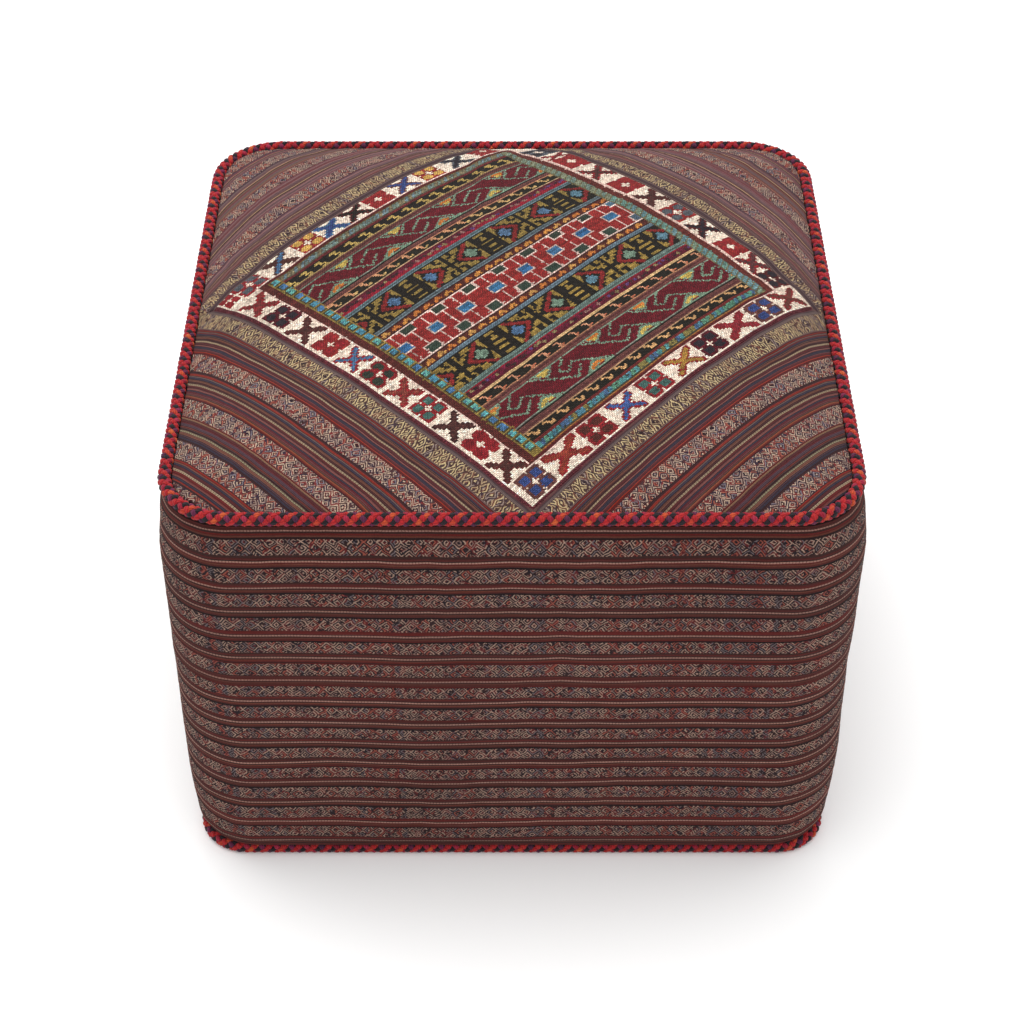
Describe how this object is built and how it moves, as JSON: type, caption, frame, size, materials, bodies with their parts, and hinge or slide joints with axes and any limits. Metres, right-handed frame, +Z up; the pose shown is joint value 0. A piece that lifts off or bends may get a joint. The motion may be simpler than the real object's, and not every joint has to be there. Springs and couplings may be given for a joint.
{
  "type": "square kilim pouf",
  "caption": "Low square upholstered pouf with a woven wool cover, a figured diamond panel on its crowned top, a striped side band and braided edge cords; zipped base.",
  "frame": {"origin": "on the floor, under the middle of the pouf", "axes": "+Z up; -Y towards the front; +X to the right seen from the front; zip along X under the base"},
  "size_m": [0.5106, 0.5106, 0.382],
  "materials": {
    "kilim_wool": "matte",
    "striped_wool": "matte",
    "braid_wool": "matte",
    "cotton_cord": "matte",
    "base_cloth": "matte",
    "zip_tape": "matte",
    "zip_nylon": "satin",
    "zip_metal": "satin",
    "calico": "matte",
    "foam": "matte",
    "wadding": "matte",
    "interlining": "matte"
  },
  "bodies": {
    "pouf": {"kilim_diamond": "kilim_wool", "corner_panel_front_left": "striped_wool", "corner_panel_front_right": "striped_wool", "corner_panel_back_left": "striped_wool", "corner_panel_back_right": "striped_wool", "side_band": "striped_wool", "top_braid": "braid_wool", "bottom_braid": "braid_wool", "top_braid_core": "cotton_cord", "bottom_braid_core": "cotton_cord", "base_panel_front": "base_cloth", "base_panel_back": "base_cloth", "zip_tape_front": "zip_tape", "zip_tape_back": "zip_tape", "zip_chain_front": "zip_nylon", "zip_chain_back": "zip_nylon", "zip_stop_closed_end": "zip_metal", "zip_stop_open_end": "zip_metal", "inner_bag_body": "calico", "inner_bag_top": "calico", "foam_base_layer": "foam", "foam_middle_layer": "foam", "foam_top_layer": "foam", "wadding_crown": "wadding", "wadding_side_wrap": "wadding", "top_interlining": "interlining"},
    "zip_slider": {"zip_slider": "zip_metal"},
    "zip_pull": {"zip_pull": "zip_metal"}
  },
  "joints": [
    {"name": "zip_slide", "type": "slide", "parent": "pouf", "child": "zip_slider", "axis": [-1, 0, 0], "range_m": [0, 0.36]},
    {"name": "pull_hinge", "type": "hinge", "parent": "zip_slider", "child": "zip_pull", "pos_m": [0.178, 0, 0.00565], "axis": [0, -1, 0], "range_deg": [-8, 165]}
  ]
}
